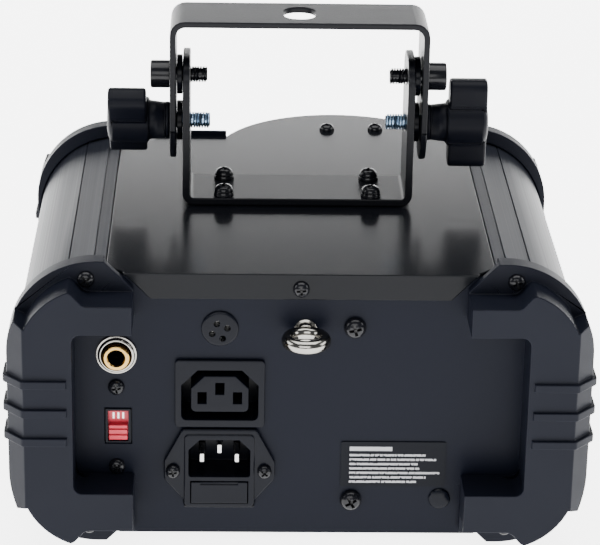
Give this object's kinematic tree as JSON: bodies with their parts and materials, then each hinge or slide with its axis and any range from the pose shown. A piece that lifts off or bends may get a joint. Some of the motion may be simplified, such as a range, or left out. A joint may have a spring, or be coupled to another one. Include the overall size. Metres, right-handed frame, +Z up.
{
  "type": "fog machine",
  "caption": "Compact fog machine with curved side shells, moulded bumpers, a mains and control panel, a pull-out fluid tank and a tilting hanging bracket.",
  "frame": {"origin": "bottom centre of the whole machine at rest, on the surface that the bumpers stand on", "axes": "+Z up, +Y the way the fog leaves, -Y the mains and control panel, +X to the right seen from that panel"},
  "size_m": [0.2314, 0.2214, 0.1932],
  "materials": {
    "bumper_plastic": "satin moulded black",
    "knob_plastic": "satin moulded black",
    "cover_paint": "gloss black powder coat",
    "panel_paint": "satin black powder coat",
    "bracket_paint": "fine textured black powder coat",
    "anodised_shell": "satin black anodised",
    "black_steel": "black oxide, slightly glossy",
    "zinc_blue": "blue passivated zinc",
    "nickel": "bright nickel plate",
    "brass": "bright",
    "gloss_black_plastic": "smooth moulded black",
    "red_plastic": "semi gloss",
    "contact_metal": "bright tinned",
    "fuse_glass": "clear",
    "board_green": "solder resist",
    "cast_aluminium": "as cast",
    "blanket": "woven glass fibre",
    "galvanised": "galvanised sheet",
    "silicone": "milky translucent",
    "tank_plastic": "milky translucent, blow moulded",
    "label_film": "printed film"
  },
  "bodies": {
    "chassis": {"rear_right_bumper": "bumper_plastic", "rear_left_bumper": "bumper_plastic", "front_right_bumper": "bumper_plastic", "front_left_bumper": "bumper_plastic", "top_plate": "cover_paint", "rear_panel": "panel_paint", "front_panel": "panel_paint", "bottom_plate": "panel_paint", "lower_bracket": "bracket_paint", "right_side_extrusion": "anodised_shell", "left_side_extrusion": "anodised_shell", "right_tilt_bolt": "black_steel", "left_tilt_bolt": "black_steel", "left_rear_bracket_screw": "black_steel", "left_front_bracket_screw": "black_steel", "right_rear_bracket_screw": "black_steel", "right_front_bracket_screw": "black_steel", "upper_panel_screw": "black_steel", "lower_panel_screw": "black_steel", "right_lower_washer": "black_steel", "left_lower_washer": "black_steel", "right_upper_washer": "black_steel", "left_upper_washer": "black_steel", "jack_nut": "nickel", "safety_eye": "nickel", "jack_bush": "brass", "fog_nozzle": "brass", "jack_housing": "gloss_black_plastic", "voltage_selector": "gloss_black_plastic", "mains_outlet": "gloss_black_plastic", "mains_inlet": "gloss_black_plastic", "microphone_grommet": "gloss_black_plastic", "hole_plug": "gloss_black_plastic", "thermostat": "gloss_black_plastic", "inlet_neutral_pin": "contact_metal", "inlet_live_pin": "contact_metal", "inlet_earth_pin": "contact_metal", "microphone_capsule": "contact_metal", "control_board": "board_green", "pump_body": "cast_aluminium", "heater_block": "cast_aluminium", "heater_blanket": "blanket", "safety_eye_nut": "galvanised", "electronics_bracket": "galvanised", "heater_cradle": "galvanised", "tank_tray": "galvanised", "pressure_hose": "silicone", "label_plate": "label_film"},
    "tilt_bracket": {"tilt_bracket": "bracket_paint"},
    "right_knob": {"right_knob": "knob_plastic", "right_knob_stud": "zinc_blue"},
    "left_knob": {"left_knob": "knob_plastic", "left_knob_stud": "zinc_blue"},
    "voltage_slider": {"voltage_slider": "red_plastic"},
    "fuse_drawer": {"fuse_drawer": "gloss_black_plastic", "fuse": "fuse_glass"},
    "tank": {"fluid_tank": "tank_plastic"},
    "tank_cap": {"tank_cap": "knob_plastic"},
    "pump_piston": {"pump_piston": "contact_metal"}
  },
  "joints": [
    {"name": "tilt", "type": "hinge", "parent": "chassis", "child": "tilt_bracket", "pos_m": [0, 0.00175, 0.1469], "axis": [1, 0, 0], "range_deg": [-30, 30]},
    {"name": "right_knob_turn", "type": "hinge", "parent": "chassis", "child": "right_knob", "pos_m": [0.06, 0.00175, 0.1469], "axis": [1, 0, 0], "continuous": true},
    {"name": "left_knob_turn", "type": "hinge", "parent": "chassis", "child": "left_knob", "pos_m": [-0.06, 0.00175, 0.1469], "axis": [-1, 0, 0], "continuous": true},
    {"name": "voltage_slide", "type": "slide", "parent": "chassis", "child": "voltage_slider", "axis": [0, 0, 1], "range_m": [0, 0.006]},
    {"name": "fuse_drawer_slide", "type": "slide", "parent": "chassis", "child": "fuse_drawer", "axis": [0, -1, 0], "range_m": [0, 0.02]},
    {"name": "tank_slide", "type": "slide", "parent": "chassis", "child": "tank", "axis": [0, 1, 0], "range_m": [0, 0.06]},
    {"name": "tank_cap_turn", "type": "hinge", "parent": "tank", "child": "tank_cap", "pos_m": [0.0195, 0.08875, 0.1], "axis": [0, 0, 1], "continuous": true},
    {"name": "pump_stroke", "type": "slide", "parent": "chassis", "child": "pump_piston", "axis": [0, 1, 0], "range_m": [-0.0015, 0.0015], "stiffness_N_per_m": 500}
  ]
}
